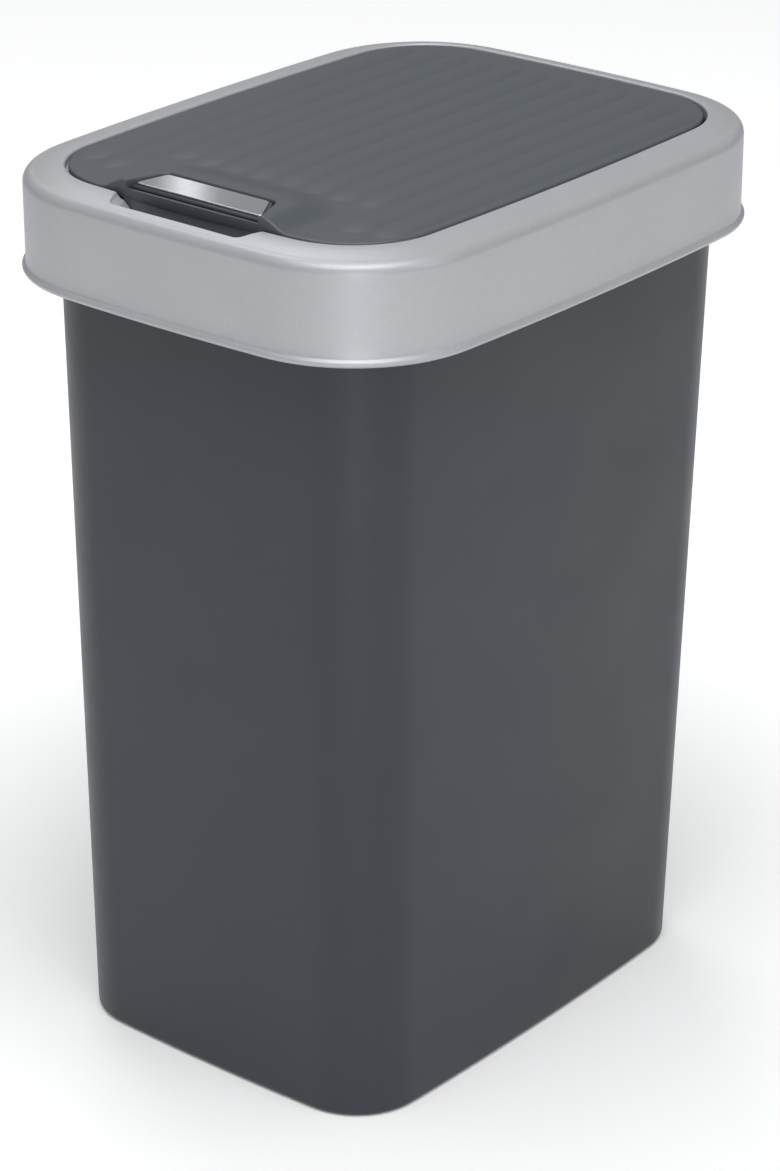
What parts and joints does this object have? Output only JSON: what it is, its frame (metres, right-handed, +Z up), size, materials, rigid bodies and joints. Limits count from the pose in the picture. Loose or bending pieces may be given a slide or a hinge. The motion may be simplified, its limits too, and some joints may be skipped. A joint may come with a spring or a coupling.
{
  "type": "push top countertop bin",
  "caption": "Tapered rectangular bin with a lift-off lid frame, a rear-hinged ribbed flap and a rocking push button that releases it.",
  "frame": {"origin": "centre of the bin's outline seen from above, on the surface it stands on", "axes": "+Z up, -Y towards the front where the push button is, +Y towards the hinges, +X to the right seen from the front"},
  "size_m": [0.1886, 0.2428, 0.3343],
  "materials": {
    "dark_plastic": "satin moulded polypropylene",
    "flap_plastic": "satin moulded polypropylene",
    "silver_plastic": "semi-gloss metallic grey polypropylene",
    "chrome": "bright plated trim",
    "steel": "drawn steel wire and pins"
  },
  "bodies": {
    "bucket": {"bucket": "dark_plastic"},
    "lid": {"lid_frame": "silver_plastic", "hinge_cradle_left": "silver_plastic", "hinge_cradle_right": "silver_plastic", "cradle_screws": "steel", "hinge_pin_left": "steel", "hinge_pin_right": "steel", "hinge_spring_left": "steel", "hinge_spring_right": "steel"},
    "flap": {"flap": "flap_plastic", "button_pin": "steel", "button_spring": "steel"},
    "button": {"release_button": "dark_plastic", "chrome_trim": "chrome"}
  },
  "joints": [
    {"name": "lid_lift", "type": "slide", "parent": "bucket", "child": "lid", "axis": [0, 0, 1], "range_m": [0, 0.06]},
    {"name": "flap_hinge", "type": "hinge", "parent": "lid", "child": "flap", "pos_m": [0, 0.0705, 0.3245], "axis": [-1, 0, 0], "range_deg": [0, 85], "deforming": ["hinge_spring_left", "hinge_spring_right"]},
    {"name": "button_press", "type": "hinge", "parent": "flap", "child": "button", "pos_m": [0, -0.0846, 0.3294], "axis": [1, 0, 0], "range_deg": [0, 5.5], "stiffness_Nm_per_rad": 0.6, "springref_deg": -2.86, "deforming": ["button_spring"]}
  ]
}
